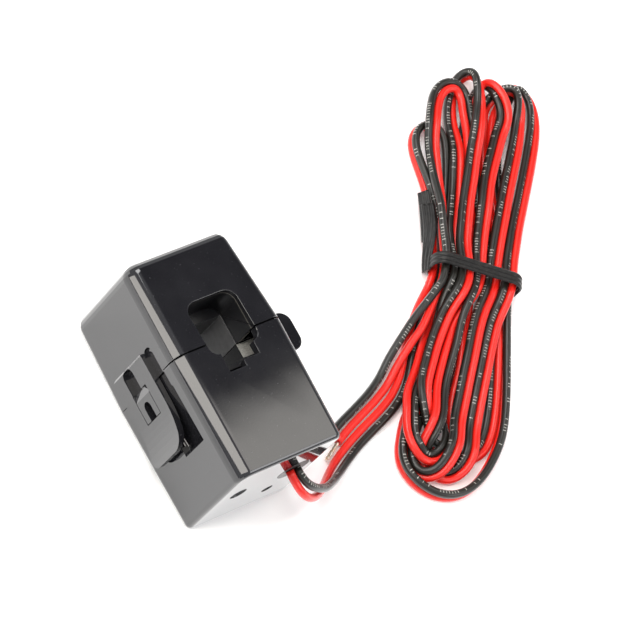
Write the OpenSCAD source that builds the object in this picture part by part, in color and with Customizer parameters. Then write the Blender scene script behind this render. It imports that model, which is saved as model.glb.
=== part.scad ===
/* [Case] */
// Width of the case across the parting line
case_w = 30; // [28:0.5:34]
// Thickness of the case from its back to its front face
case_d = 32.1; // [30:0.5:38]
// Height of the lower half below the parting line
lower_h = 30.7; // [30:0.5:38]
// Height of the jaw above the parting line
upper_h = 24.3; // [22:0.5:30]
// Thickness of the front and back walls
face_wall = 2.6; // [2:0.1:3.2]
// Thickness of the hinge-side and bottom walls
side_wall = 2; // [1.6:0.1:2.6]
// Radius of the case corner beside the latch, on the front
corner_r = 3.7; // [2.5:0.1:4.5]
// Radius of the other three upright corners
corner_small_r = 2; // [1.2:0.1:2.6]
// Rounding of the jaw's top edges
crown_r = 3; // [1.5:0.1:3.6]
// Rounding of the lower half's bottom edges
foot_r = 1.2; // [0.6:0.1:1.6]
// Taper of the jaw's side walls, per millimetre of height
jaw_taper = 0.046; // [0:0.002:0.06]
// Taper of the jaw's front wall, per millimetre of height
jaw_face_taper = 0.056; // [0:0.002:0.07]
// Taper of the lower half's side walls, per millimetre of height
base_taper = 0.012; // [0:0.002:0.03]
// Taper of the lower half's front wall, per millimetre of height
base_face_taper = 0.02; // [0:0.002:0.03]
// Gap between the two halves at the parting line
part_gap = 0.16; // [0.1:0.02:0.3]

/* [Conductor window] */
// Width of the window
window_w = 13.6; // [12:0.2:16]
// Height of the window
window_h = 13.4; // [12:0.2:15]
// Radius of the window's upper corners
window_top_r = 3; // [1.5:0.1:4]
// Radius of the window's lower corners
window_low_r = 2.3; // [1:0.1:2.8]
// Distance of the window's axis from the middle of the case, toward the hinge
window_off = 0.7; // [0:0.1:1]
// Distance of the window's axis above the parting line
window_rise = 3.7; // [3:0.1:4.4]
// Width of the notch under the window
notch_w = 9.2; // [7:0.2:10]
// Depth of the notch on its latch side
notch_deep = 4.65; // [3:0.05:5.5]
// Depth of the notch on its hinge side
notch_shallow = 3.1; // [1:0.05:3.5]

/* [Core] */
// Width of each core limb
limb_w = 5; // [4:0.1:5.4]
// Depth of the core, along the conductor
core_d = 11.5; // [9:0.1:12.5]
// Clear width between the limbs
core_gap_w = 13.4; // [12:0.2:13.4]
// Height of the core's clear window above its axis
core_head = 4; // [3.5:0.1:5]
// Gap between the pole faces of the two core halves
pole_gap = 0.1; // [0.06:0.02:0.2]
// Length of the lower limbs
limb_l = 18.2; // [17:0.1:19]
// Clearance of a core in what holds it
core_clear = 0.12; // [0.08:0.02:0.2]

/* [Coil] */
// Thickness of the bobbin's walls
bobbin_wall = 0.8; // [0.6:0.1:1]
// Build of the winding over the bobbin
winding_build = 2.6; // [1.6:0.1:2.8]
// Thickness of the tape over the winding
tape_t = 0.2; // [0.1:0.05:0.3]
// Height of the bobbin's flanges over the winding's tape
flange_rise = 0.4; // [0.2:0.1:0.6]
// Thickness of the burden board
board_t = 1; // [0.8:0.2:1.2]
// Diameter of the burden resistor
resistor_d = 2; // [1.6:0.1:2.2]

/* [Hinge] */
// Radius of the hinge knuckles
knuckle_r = 3; // [2.6:0.1:3.4]
// Distance of the hinge axis from the hinge-side wall
hinge_out = 5; // [4.2:0.1:6]
// Length of the whole hinge
hinge_l = 14; // [12:0.5:16]
// Length of each end knuckle
end_knuckle_l = 3; // [2.4:0.1:3.6]
// Diameter of the hinge pin
pin_d = 2; // [1.6:0.1:2.4]
// Radial clearance of the pin in the jaw's knuckle
pin_clear = 0.06; // [0.04:0.01:0.1]
// Height of the hinge leaf under the axis
leaf_drop = 6.7; // [6:0.1:8]
// Play between the knuckles, end to end
knuckle_gap = 0.2; // [0.15:0.05:0.3]

/* [Latch] */
// Width of the latch strip
strip_w = 15.9; // [14:0.1:17]
// Thickness of the latch strip
strip_t = 1.5; // [1.2:0.1:1.7]
// Height of the strip's outer face over the side wall
strip_proud = 0.6; // [0.3:0.1:0.9]
// Length of the strip below the parting line
strip_drop = 16.5; // [14:0.1:18]
// Height of the strip's root above the parting line
strip_root = 6.5; // [5:0.1:8]
// How far the strip's free end stands out
flare = 2; // [1:0.1:2.5]
// Width of the catch lug
lug_w = 7.1; // [6:0.1:7.6]
// Height of the catch lug
lug_h = 7.1; // [6:0.1:7.4]
// Clearance of the lug in the strip's window
lug_clear = 0.2; // [0.1:0.05:0.3]
// Depth of the flutes beside and in the strip
flute_t = 1; // [0.6:0.1:1.2]

/* [Lead] */
// Diameter of one insulated conductor
wire_d = 2; // [1.6:0.1:2.2]
// Diameter of the lead's bushing
bushing_d = 8; // [7:0.1:9]
// Length of the lead's hank
hank_l = 124; // [110:1:130]
// Width of the hank's upper end, of which the tie is the middle
hank_top_w = 31.6; // [26:0.2:34]
// Width of the hank's lower end
hank_low_w = 28.6; // [24:0.2:32]
// Width of the hank inside its tie
hank_waist_w = 22.2; // [20:0.2:25]
// Height of the lead's hank
hank_h = 7.2; // [6.4:0.1:9]
// Width of the twist tie
tie_w = 4; // [3:0.1:5]
// Thickness of the twist tie
tie_t = 0.9; // [0.6:0.1:1.2]
// Length of the tie's twisted end
tail_l = 21; // [16:0.5:26]

/* [Hidden] */
$fn = 48;
eps = 0.01;
over = 1;
hull_fn = 32;

// X runs to the hinge, Y to the jaw's top, Z along the conductor; the window's axis is X = Y = 0
x_l = -case_w / 2 - window_off;
x_r = case_w / 2 - window_off;
y_part = -window_rise;
y_low = y_part - part_gap / 2;
y_up = y_part + part_gap / 2;
y_bot = y_part - lower_h;
y_top = y_part + upper_h;
z_in_b = face_wall;
z_in_f = case_d - face_wall;
z_mid = case_d / 2;

// coil: how far each layer stands off the yoke
tube_in = core_clear;
tube_out = tube_in + bobbin_wall;
wind_out = tube_out + winding_build;
tape_out = wind_out + tape_t;
flange_out = tape_out + flange_rise;
diode_h = 1.9;
board_room = flange_out + board_t + max(resistor_d, diode_h) + 0.3;

// core, in the middle of the case unless the board needs more room before it
leg_i = core_gap_w / 2;
leg_o = leg_i + limb_w;
core_z1 = min(z_mid + core_d / 2, z_in_f - board_room);
core_z0 = core_z1 - core_d;
core_z = (core_z0 + core_z1) / 2;
leg_bot = y_part - limb_l;
yoke_bot = leg_bot - limb_w;
head_top = core_head + limb_w;
spring_room = 1.6;
spring_t = 0.3;
spring_w = 8;

// bobbin and board
bob_x = leg_i - core_clear;
board_z = core_z1 + flange_out;
board_x = leg_i + 2.6;
board_y0 = yoke_bot - flange_out + 1;
board_y1 = leg_bot + flange_out - 1;
pin_w = 0.7;
pin_x = 5;
pin_in = 1;
solder_h = 0.8;
resistor_l = 6.3;
resistor_up = 2;
diode_l = 4.4;
diode_w = 2.6;
diode_down = 3;

// cradle
sleeve_t = 0.8;
sleeve_top = -window_h / 2 - 0.7;
plate_t = 1.5;
plate_y = leg_bot + flange_out + 1.2;
deck_t = 1.2;
case_clear = 0.2;
latch_wall = 3.2;
in_l = min(x_l + latch_wall, -leg_o - core_clear - case_clear);
in_r = max(x_r - side_wall, leg_o + core_clear + case_clear);
ledge_in = 1.2;
ledge_h = 1.6;
ledge_gap = 0.3;

// latch, on the left wall; the recess floor lies behind the strip
strip_z0 = 4.9;
strip_z1 = strip_z0 + strip_w;
strip_xo = x_l - strip_proud;
strip_xi = strip_xo + strip_t;
recess_x = strip_xi + 0.4;
strip_end = y_part - strip_drop;
flare_start = y_part - 5.3;
strip_corner = 3.5;
lug_top = y_part + 0.4;
lug_bot = lug_top - lug_h;
lug_z0 = 9.5;
lug_z1 = lug_z0 + lug_w;
lug_slot_w = 3;
lug_slot_h = 4.2;
lug_lead = 1.7;
slot_z0 = lug_z0;
slot_w = 4.9;
flute_w = 4.1;
flute_r = 1.8;
recess_z0 = strip_z0 - 0.6;
recess_z1 = strip_z1 + flute_w + 0.4;
pocket_z0 = strip_z1 - 5;
pocket_end = strip_end - 1.7;
pocket_skin = 0.8;
pocket_in = min(1, in_l - recess_x - pocket_skin);

// hinge
axis_x = x_r + hinge_out;
hinge_z0 = z_mid - hinge_l / 2;
hinge_z1 = z_mid + hinge_l / 2;
leaf_x1 = axis_x + knuckle_r;
leaf_y0 = y_part - leaf_drop;
leaf_top = y_part - knuckle_r - 0.5;
leaf_corner = 2.7;
press_clear = 0.03;

// lead
hole_x = 6.5;
hole_z = 17.7;
bush_l = side_wall + 0.3;
wire_pitch = wire_d + 0.1;
bare_d = 1;
mark_depth = 0.4;
// round mould marks under the bottom: where each lies in X and Z, and its diameter
MARKS = [[-8.8, 16.7, 4.2], [3.6, 8.6, 2.8]];

// hank, in its own frame: along it from the tie to its upper end, and to its left
hank_x = 85;
hank_y = -5.5;
hank_a = 54;
hank_top = 63.5;
hank_top_v = -2.8;
hank_low_v = -0.4;
tie_u = 1;
tie_v = -2.5;
tie_round = 2.6;
tie_gap = 0.1;
tail_w = 2.4;
tail_h = 2.6;
tail_z = 2.2;
tail_lean = 2.8;

// route of each conductor, from inside the bushing to the hank, and from the hank to its bared end
BLACK_OUT = [[7.5, -31.8, 17.7], [7.5, -34.4, 17.7], [7.7, -36.6, 17.4], [9.1, -38.6, 16.2],
    [12, -39.8, 14], [16.2, -40, 10.9], [21, -38.8, 7.3], [25.8, -37, 4.3], [30.8, -34.8, 2.2],
    [36, -32.6, 1.2], [41.4, -30.7, 1.1], [46.8, -28.9, 1.1], [52, -26.7, 1.1], [56.6, -23.7, 1.1],
    [61, -19.8, 1.1], [65, -15.8, 1.2]];
RED_OUT = [[5.4, -31.8, 17.7], [5.4, -34.4, 17.7], [5.7, -37.2, 17], [7.4, -40, 15],
    [10.6, -41, 12], [15, -40.3, 8.7], [19.8, -38.2, 5.3], [24.6, -35.5, 2.9], [29.6, -32.9, 1.5],
    [35, -30.6, 1.1], [40.6, -28.6, 1.1], [46, -26.8, 1.1], [51, -24.7, 1.1], [55.2, -21.9, 1.1],
    [59.4, -18.2, 1.1], [63.4, -14.4, 1.2], [67.2, -11, 1.3], [70.6, -8, 1.4]];
RED_END = [[31.6, -29.7, 1.1], [36, -27.8, 1.1], [41.4, -25.9, 1.1], [46.8, -24, 1.1],
    [51.8, -21.7, 1.2], [56.2, -18.7, 2.2], [60.6, -16, 3.3], [65.4, -13.4, 4.1], [70.6, -10.6, 4.6]];
BLACK_END = [[29.4, -28, 1.1], [35, -25.7, 1.1], [40.6, -23.8, 1.1], [46, -21.8, 1.1],
    [50.8, -19.4, 1.2], [55, -16.4, 2.2], [59.5, -13.6, 3.3], [64.4, -10.9, 4.1], [69.4, -8.2, 4.6],
    [73.5, -5.8, 4.8]];
RED_BARE = [[26.6, -32.4, 1], [31.6, -29.7, 1.1]];
BLACK_BARE = [[24.4, -30, 1], [29.4, -28, 1.1]];

// unit vector, and the sweep of a round section along a route
function unit(v) = v / norm(v);
function last(p) = len(p) - 1;
function dir(p, i) =
    i == 0 ? unit(p[1] - p[0]) :
    i == last(p) ? unit(p[i] - p[i - 1]) :
    unit(unit(p[i] - p[i - 1]) + unit(p[i + 1] - p[i]));
function ring(p, i, r, n) =
    let (t = dir(p, i), s = unit(cross(t, [0, 0, 1])), u = cross(s, t))
    [for (k = [0 : n - 1]) let (a = 360 * (k + 0.5) / n) p[i] + r * (cos(a) * s + sin(a) * u)];

module wire(p, r) {
    n = 8;
    m = len(p);
    polyhedron(
        points = [for (i = [0 : m - 1]) each ring(p, i, r, n)],
        faces = concat(
            [[for (k = [0 : n - 1]) k]],
            [for (i = [0 : m - 2]) for (k = [0 : n - 1]) let (a = i * n + k, b = i * n + (k + 1) % n)
                each [[a, a + n, b], [b, a + n, b + n]]],
            [[for (k = [n - 1 : -1 : 0]) (m - 1) * n + k]]));
}

// a flat outline in X and Y, raised along Z from z0 to z1
module prism(z0, z1) {
    translate([0, 0, z0]) linear_extrude(z1 - z0) children();
}

module block(x0, x1, y0, y1, z0, z1) {
    translate([x0, y0, z0]) cube([x1 - x0, y1 - y0, z1 - z0]);
}

// an outline in Z and Y, raised along X from x0 to x1
module side_prism(x0, x1) {
    translate([x1, 0, 0]) rotate([0, -90, 0]) linear_extrude(x1 - x0) children();
}

module round_rect(x0, x1, y0, y1, r) {
    translate([x0 + r, y0]) square([x1 - x0 - 2 * r, y1 - y0]);
    translate([x0, y0 + r]) square([x1 - x0, y1 - y0 - 2 * r]);
    for (x = [x0 + r, x1 - r])
        for (y = [y0 + r, y1 - r])
            translate([x, y]) circle(r);
}

// one level of the case: its outline at height y, drawn in from the parting line's outline
module level(y, side, front, edge) {
    back_under = 0.35;
    corners = [
        [x_l + side, case_d - front, corner_r, 1, -1],
        [x_r - side, case_d - front, corner_small_r, -1, -1],
        [x_l + side, -back_under, corner_small_r, 1, 1],
        [x_r - side, -back_under, corner_small_r, -1, 1]];
    for (c = corners) {
        r = max(c[2] - edge, 0.4);
        translate([c[0] + c[3] * (edge + r), y, c[1] + c[4] * (edge + r)])
            rotate([90, 0, 0]) cylinder(r = r, h = eps, center = true, $fn = hull_fn);
    }
}

module case_half(y0, y1, taper, face_taper, edge_r) {
    s = sign(y1 - y0);
    h = abs(y1 - y0);
    intersection() {
        hull() {
            level(y0 + s * eps / 2, 0, 0, 0);
            for (a = [0 : 18 : 90]) {
                rise = h - edge_r * (1 - sin(a));
                level(y0 + s * (rise - eps / 2), rise * taper, rise * face_taper,
                    edge_r * (1 - cos(a)));
            }
        }
        block(x_l - over, x_r + over, min(y0, y1), max(y0, y1), 0, case_d + over);
    }
}

// the conductor window's outline
module window_2d() {
    intersection() {
        union() {
            round_rect(-window_w / 2, window_w / 2, -window_h / 2, window_h / 2, window_top_r);
            translate([-window_w / 2, -window_h / 2 + window_top_r])
                square([window_w, eps]);
            round_rect(-window_w / 2, window_w / 2, -window_h / 2, 0, window_low_r);
        }
        translate([-window_w / 2, -window_h / 2]) square([window_w, window_h]);
    }
}

module notch_2d() {
    translate([-notch_w / 2, -window_h / 2 - notch_deep]) square([notch_w / 2, notch_deep + over]);
    translate([-eps, -window_h / 2 - notch_shallow])
        square([notch_w / 2 + eps, notch_shallow + over]);
}

// a flute's outline in Z and Y, open at its lower end
module flute_2d(z0, w, y0, y1, r) {
    translate([z0, y0]) square([w, y1 - r - y0]);
    translate([z0 + r, y0]) square([w - 2 * r, y1 - y0]);
    for (z = [z0 + r, z0 + w - r]) translate([z, y1 - r]) circle(r);
}

module lower_case() {
    color([0.13, 0.13, 0.14])
    difference() {
        union() {
            difference() {
                case_half(y_low, y_bot, base_taper, base_face_taper, foot_r);
                // room for the cradle, the coil and the board
                prism(z_in_b, z_in_f)
                    round_rect(in_l, in_r, y_bot + side_wall, y_low + over * 3, 1);
                // recess behind the latch strip, and the finger pocket in front of it
                side_prism(x_l - over, recess_x)
                    round_rect(recess_z0, recess_z1, strip_end + 0.8, y_low + over * 3, 1.2);
                pocket();
            }
            lug();
            hinge_leaf();
            cradle_ledges();
        }
        prism(-over, case_d + over) window_2d();
        prism(-over, case_d + over) notch_2d();
        translate([hole_x, y_bot - over, hole_z]) rotate([-90, 0, 0])
            cylinder(d = bushing_d + 0.1, h = side_wall + 2 * over);
        translate([axis_x, y_part, hinge_z0 - over])
            cylinder(r = pin_d / 2 + press_clear, h = hinge_l - 1 + over);
        for (m = MARKS)
            translate([m[0], y_bot - over, m[1]]) rotate([-90, 0, 0])
                cylinder(d = m[2], h = over + mark_depth);
    }
}

// four corner ledges that the cradle's plate lies on
module cradle_ledges() {
    top = plate_y - ledge_gap;
    for (z = [[z_in_b - eps, core_z0 - sleeve_t - 1], [core_z1 + sleeve_t + 1, z_in_f + eps]]) {
        block(in_l - eps, in_l + ledge_in, top - ledge_h, top, z[0], z[1]);
        block(in_r - ledge_in, in_r + eps, top - ledge_h, top, z[0], z[1]);
    }
}

module pocket() {
    translate([0, 0, pocket_z0]) linear_extrude(recess_z1 + 0.4 - pocket_z0)
        polygon([[x_l - over, y_low - 4], [recess_x - eps, y_low - 4], [recess_x + pocket_in, pocket_end + 2],
            [recess_x + pocket_in * 0.6, pocket_end + 0.6], [recess_x - 0.6, pocket_end],
            [x_l - over, pocket_end]]);
}

module lug() {
    difference() {
        prism(lug_z0, lug_z1)
            polygon([[recess_x + eps, lug_bot], [strip_xo, lug_bot], [strip_xo, lug_top - lug_lead],
                [strip_xo + 0.75, lug_top], [recess_x + eps, lug_top]]);
        side_prism(strip_xo - over, recess_x)
            flute_2d((lug_z0 + lug_z1 - lug_slot_w) / 2, lug_slot_w, lug_bot - over,
                lug_bot + lug_slot_h, lug_slot_w / 2 - eps);
    }
}

module hinge_leaf() {
    prism(hinge_z0, hinge_z1) leaf_2d(leaf_top);
    for (z = [hinge_z0, hinge_z1 - end_knuckle_l])
        prism(z, z + end_knuckle_l) {
            leaf_2d(y_low);
            translate([axis_x, y_part]) circle(knuckle_r);
        }
}

module leaf_2d(top) {
    x0 = x_r - 1.2;
    translate([x0, leaf_y0]) square([leaf_x1 - leaf_corner - x0, top - leaf_y0]);
    intersection() {
        translate([x0, leaf_y0 + leaf_corner])
            square([leaf_x1 - x0, top - leaf_y0 - leaf_corner + eps]);
        translate([x0, leaf_y0]) square([leaf_x1 - x0, top - leaf_y0]);
    }
    intersection() {
        translate([leaf_x1 - leaf_corner, leaf_y0 + leaf_corner]) circle(leaf_corner);
        translate([x0, leaf_y0]) square([leaf_x1 - x0, top - leaf_y0]);
    }
}

module upper_case() {
    color([0.13, 0.13, 0.14])
    difference() {
        union() {
            case_half(y_up, y_top, jaw_taper, jaw_face_taper, crown_r);
            latch_strip();
            jaw_knuckle();
        }
        prism(-over, case_d + over) window_2d();
        // pocket for the upper core and its spring
        block(-leg_o - core_clear, leg_o + core_clear, y_part - over, head_top + spring_room,
            core_z0 - core_clear, core_z1 + core_clear);
        // thinned walls beside the window, before and behind the core
        for (z = [[z_in_b, core_z0 - core_clear - 1.2], [core_z1 + core_clear + 1.2, z_in_f]])
            for (x = [[-leg_o - core_clear, -window_w / 2 - 1.2], [window_w / 2 + 1.2, leg_o + core_clear]])
                block(x[0], x[1], y_part - over, head_top, z[0], z[1]);
        // the flute beside the strip, and the slot in it
        side_prism(x_l - over, x_l + flute_t)
            flute_2d(strip_z1, flute_w, y_part - over, y_part + strip_root + 0.1, flute_r);
        side_prism(strip_xo - over, x_l + flute_t)
            flute_2d(slot_z0, slot_w, y_part - over, y_part + strip_root - 0.3, flute_r);
        // the window that the lug stands in
        block(strip_xo - over * 3, recess_x + 0.3, lug_bot - lug_clear, lug_top + lug_clear,
            lug_z0 - lug_clear, lug_z1 + lug_clear);
        translate([axis_x, y_part, hinge_z0 - over])
            cylinder(r = pin_d / 2 + pin_clear, h = hinge_l + 2 * over);
    }
}

// the strip's side view: straight at its root, then standing out to its free end
function flare_at(y) = y > flare_start ? 0 : flare * pow((flare_start - y) / (flare_start - strip_end), 2);

module latch_strip() {
    ys = [for (i = [0 : 7]) flare_start + i * (strip_end - flare_start) / 7];
    intersection() {
        prism(strip_z0, strip_z1)
            polygon(concat(
                [[x_l + 1.9, y_part + strip_root], [strip_xo + 0.4, y_part + strip_root],
                    [strip_xo, y_part + strip_root - 0.5]],
                [for (y = ys) [strip_xo - flare_at(y), y]],
                [for (i = [7 : -1 : 0]) [strip_xi - flare_at(ys[i]), ys[i]]],
                [[strip_xi, y_up], [x_l + 1.9, y_up]]));
        side_prism(strip_xo - flare - over, x_l + 2)
            round_rect(strip_z0, strip_z1, strip_end, y_part + strip_root + 4, strip_corner);
        side_prism(strip_xo - flare - over, x_l + 2)
            round_rect(strip_z0, strip_z1, strip_end - 3, y_part + strip_root, 1);
    }
}

module jaw_knuckle() {
    z0 = hinge_z0 + end_knuckle_l + knuckle_gap;
    z1 = hinge_z1 - end_knuckle_l - knuckle_gap;
    prism(z0, z1) {
        translate([axis_x, y_part]) circle(knuckle_r);
        translate([x_r - 1.2, y_up]) square([hinge_out + 1.2, knuckle_r - part_gap / 2]);
    }
}

module hinge_pin() {
    color([0.72, 0.72, 0.74])
    translate([axis_x, y_part, hinge_z0 + 0.2]) cylinder(d = pin_d, h = hinge_l - 1.3);
}

module core_legs() {
    color([0.42, 0.42, 0.43])
    for (x = [-leg_o, leg_i])
        block(x, x + limb_w, leg_bot, y_part - pole_gap / 2, core_z0, core_z1);
}

module core_yoke() {
    color([0.42, 0.42, 0.43])
    block(-leg_o, leg_o, yoke_bot, leg_bot, core_z0, core_z1);
}

module upper_core() {
    color([0.42, 0.42, 0.43])
    difference() {
        block(-leg_o, leg_o, y_part + pole_gap / 2, head_top, core_z0, core_z1);
        block(-leg_i, leg_i, y_part - over, core_head, core_z0 - over, core_z1 + over);
    }
}

module core_spring() {
    half = leg_o - 2.7;
    sag = spring_room - spring_t - 0.06;
    r = (half * half + sag * sag) / (2 * sag);
    cy = head_top + spring_room - 0.03 - spring_t - r;
    color([0.75, 0.72, 0.6])
    intersection() {
        translate([0, cy, core_z - spring_w / 2])
            difference() {
                cylinder(r = r + spring_t, h = spring_w, $fn = 180);
                translate([0, 0, -over]) cylinder(r = r, h = spring_w + 2 * over, $fn = 180);
            }
        block(-half, half, head_top, head_top + spring_room, 0, case_d);
    }
}

module core_cradle() {
    so = sleeve_t + core_clear;
    color([0.11, 0.11, 0.12])
    difference() {
        union() {
            block(in_l + case_clear, in_r - case_clear, plate_y, plate_y + plate_t,
                z_in_b + case_clear, z_in_f - case_clear);
            for (x = [-leg_o, leg_i])
                block(max(x - so, in_l + case_clear), min(x + limb_w + so, in_r - case_clear),
                    plate_y, sleeve_top, core_z0 - so, core_z1 + so);
            block(-leg_i, leg_i, sleeve_top - 0.3 - deck_t, sleeve_top - 0.3, core_z0 - so, core_z1 + so);
        }
        for (x = [-leg_o, leg_i])
            block(x - core_clear, x + limb_w + core_clear, plate_y - over, sleeve_top + over,
                core_z0 - core_clear, core_z1 + core_clear);
    }
}

// a rectangular tube round the yoke, from one offset to another
module yoke_ring(x0, x1, inner, outer, r) {
    side_prism(x0, x1)
        difference() {
            round_rect(core_z0 - outer, core_z1 + outer, yoke_bot - outer, leg_bot + outer, r);
            translate([core_z0 - inner, yoke_bot - inner])
                square([core_d + 2 * inner, limb_w + 2 * inner]);
        }
}

module bobbin() {
    color([0.85, 0.83, 0.76]) {
        yoke_ring(-bob_x, bob_x, tube_in, tube_out, 0.3);
        for (x = [-bob_x, bob_x - bobbin_wall])
            yoke_ring(x, x + bobbin_wall, tube_in, flange_out, 1);
    }
}

module secondary_winding() {
    color([0.66, 0.33, 0.14])
    side_prism(-bob_x + bobbin_wall, bob_x - bobbin_wall)
        difference() {
            round_rect(core_z0 - wind_out, core_z1 + wind_out, yoke_bot - wind_out, leg_bot + wind_out, 1.6);
            round_rect(core_z0 - tube_out, core_z1 + tube_out, yoke_bot - tube_out, leg_bot + tube_out, 0.3);
        }
}

module winding_tape() {
    color([0.86, 0.75, 0.2])
    side_prism(-bob_x + bobbin_wall, bob_x - bobbin_wall)
        difference() {
            round_rect(core_z0 - tape_out, core_z1 + tape_out, yoke_bot - tape_out, leg_bot + tape_out,
                1.6 + tape_t);
            round_rect(core_z0 - wind_out, core_z1 + wind_out, yoke_bot - wind_out, leg_bot + wind_out, 1.6);
        }
}

module terminal_pins() {
    color([0.8, 0.78, 0.7])
    for (x = [-pin_x, pin_x])
        translate([x - pin_w / 2, board_y0 + pin_in, board_z - eps])
            cube([pin_w, pin_w, board_t + solder_h + eps]);
}

module burden_board() {
    color([0.1, 0.35, 0.18])
    difference() {
        block(-board_x, board_x, board_y0, board_y1, board_z, board_z + board_t);
        for (x = [-pin_x, pin_x])
            translate([x - pin_w / 2, board_y0 + pin_in, board_z - over])
                cube([pin_w, pin_w, board_t + 2 * over]);
    }
}

module burden_resistor() {
    color([0.35, 0.55, 0.75])
    translate([-resistor_l / 2, (board_y0 + board_y1) / 2 + resistor_up,
        board_z + board_t + resistor_d / 2])
        rotate([0, 90, 0]) cylinder(d = resistor_d, h = resistor_l);
}

module clamp_diode() {
    color([0.15, 0.15, 0.16])
    translate([-diode_l / 2, (board_y0 + board_y1) / 2 - diode_down, board_z + board_t])
        cube([diode_l, diode_w, diode_h]);
}

module lead_bushing() {
    color([0.1, 0.1, 0.11])
    difference() {
        translate([hole_x, y_bot, hole_z]) rotate([-90, 0, 0]) cylinder(d = bushing_d, h = bush_l);
        for (x = [BLACK_OUT[0][0], RED_OUT[0][0]])
            translate([x, y_bot - over, hole_z]) rotate([-90, 0, 0])
                cylinder(d = wire_d + 0.08, h = bush_l + 2 * over);
    }
}

module red_lead() {
    color([0.85, 0.12, 0.12]) {
        wire(RED_OUT, wire_d / 2);
        wire(RED_END, wire_d / 2);
    }
}

module black_lead() {
    color([0.12, 0.12, 0.12]) {
        wire(BLACK_OUT, wire_d / 2);
        wire(BLACK_END, wire_d / 2);
    }
}

module tinned_ends() {
    color([0.8, 0.76, 0.7]) {
        wire(RED_BARE, bare_d / 2);
        wire(BLACK_BARE, bare_d / 2);
    }
}

module in_hank() {
    translate([hank_x, hank_y, 0]) rotate(hank_a) children();
}

// the hank's outline: drawn in at its tie, with round ends
module hank_2d() {
    top_r = hank_top_w / 2;
    low_r = hank_low_w / 2;
    for (end = [[hank_top - top_r, hank_top_v, top_r], [hank_top - hank_l + low_r, hank_low_v, low_r]])
        hull() {
            translate([end[0], end[1]]) circle(end[2]);
            translate([tie_u, tie_v]) circle(hank_waist_w / 2);
        }
}

// the tie's loop across the hank, in its own width and height
module tie_loop_2d(grow) {
    half = hank_waist_w / 2 + tie_gap + grow;
    round_rect(-half, half, tie_t - grow, tie_t + hank_h + tie_gap + grow, tie_round + grow);
}

module lead_hank() {
    color([0.6, 0.12, 0.12])
    in_hank()
        difference() {
            linear_extrude(tie_t + hank_h) hank_2d();
            // the tie runs under and over the hank
            across_hank(tie_w + 2 * tie_gap)
                difference() {
                    translate([-hank_top_w, -over])
                        square([2 * hank_top_w, hank_h + tie_t + 2 * over]);
                    translate([0, tie_gap]) offset(delta = -2 * tie_gap) tie_loop_2d(0);
                }
        }
}

// an outline in the hank's width and height, raised along the hank at the tie
module across_hank(w) {
    translate([tie_u - w / 2, tie_v, 0]) rotate([90, 0, 90]) linear_extrude(w) children();
}

module twist_tie() {
    tail_v = tie_v + hank_waist_w / 2 + tie_gap + tie_t;
    color([0.1, 0.1, 0.1])
    in_hank() {
        across_hank(tie_w)
            difference() {
                tie_loop_2d(tie_t);
                tie_loop_2d(0);
            }
        translate([0, 0, tail_z])
            linear_extrude(tail_h)
                polygon([[tie_u - tie_w / 2, tail_v - eps], [tie_u + tie_w / 2, tail_v - eps],
                    [tie_u + tail_l, tail_v + tail_lean - tail_w / 2],
                    [tie_u + tail_l, tail_v + tail_lean + tail_w / 2],
                    [tie_u + tie_w, tail_v + tail_w - tie_t], [tie_u, tail_v + tail_w - tie_t],
                    [tie_u - tie_w / 2, tail_v + tail_w / 3]]);
    }
}

lower_case();
upper_case();
hinge_pin();
core_legs();
core_yoke();
upper_core();
core_spring();
core_cradle();
bobbin();
secondary_winding();
winding_tape();
terminal_pins();
burden_board();
burden_resistor();
clamp_diode();
lead_bushing();
red_lead();
black_lead();
lead_hank();
twist_tie();
tinned_ends();
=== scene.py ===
"""Split-core current transformer with a tied hank of bonded two-wire lead."""

import math

import bmesh
import bpy
import numpy as np
from mathutils import Matrix, Vector


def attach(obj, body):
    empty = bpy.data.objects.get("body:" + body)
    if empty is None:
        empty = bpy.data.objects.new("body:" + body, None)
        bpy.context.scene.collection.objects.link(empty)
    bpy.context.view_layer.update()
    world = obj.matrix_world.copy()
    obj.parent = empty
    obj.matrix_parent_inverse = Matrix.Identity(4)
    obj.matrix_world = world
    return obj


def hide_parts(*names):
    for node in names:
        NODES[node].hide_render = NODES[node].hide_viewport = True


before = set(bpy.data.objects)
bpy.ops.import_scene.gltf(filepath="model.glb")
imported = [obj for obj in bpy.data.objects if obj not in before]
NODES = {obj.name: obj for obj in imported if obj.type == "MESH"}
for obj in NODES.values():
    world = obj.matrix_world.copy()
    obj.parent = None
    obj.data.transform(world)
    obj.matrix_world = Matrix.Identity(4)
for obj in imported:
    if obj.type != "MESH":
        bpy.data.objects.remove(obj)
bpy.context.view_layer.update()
MM = 0.001
scene = bpy.context.scene


# ---------------------------------------------------------------- camera

CAMERA_PLACE = Vector((-436.85, -161.94, 700.76)) * MM
CAMERA_RIGHT = Vector((0.7695, -0.4827, 0.4181))
CAMERA_UP = Vector((0.3129, 0.8558, 0.4120))
SENSOR_MM = 36
LENS_MM = 206.06
CLIP_M = (0.05, 20)


def make_camera():
    """The studio camera, square to its own right and up."""
    data = bpy.data.cameras.new("studio_camera")
    data.sensor_width = SENSOR_MM
    data.lens = LENS_MM
    data.clip_start, data.clip_end = CLIP_M
    camera = bpy.data.objects.new("studio_camera", data)
    right = CAMERA_RIGHT.normalized()
    back = right.cross(CAMERA_UP).normalized()
    up = back.cross(right)
    turned = Matrix((right, up, back)).transposed().to_4x4()
    camera.matrix_world = Matrix.Translation(CAMERA_PLACE) @ turned
    scene.collection.objects.link(camera)
    scene.camera = camera


make_camera()


# ---------------------------------------------------------------- node helpers


def srgb(code):
    """A colour written as sRGB hex, in linear light."""
    parts = [int(code[i : i + 2], 16) / 255 for i in (1, 3, 5)]
    return (*[c / 12.92 if c <= 0.04045 else ((c + 0.055) / 1.055) ** 2.4 for c in parts], 1.0)


def grey(value):
    return (value, value, value, 1.0)


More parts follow.
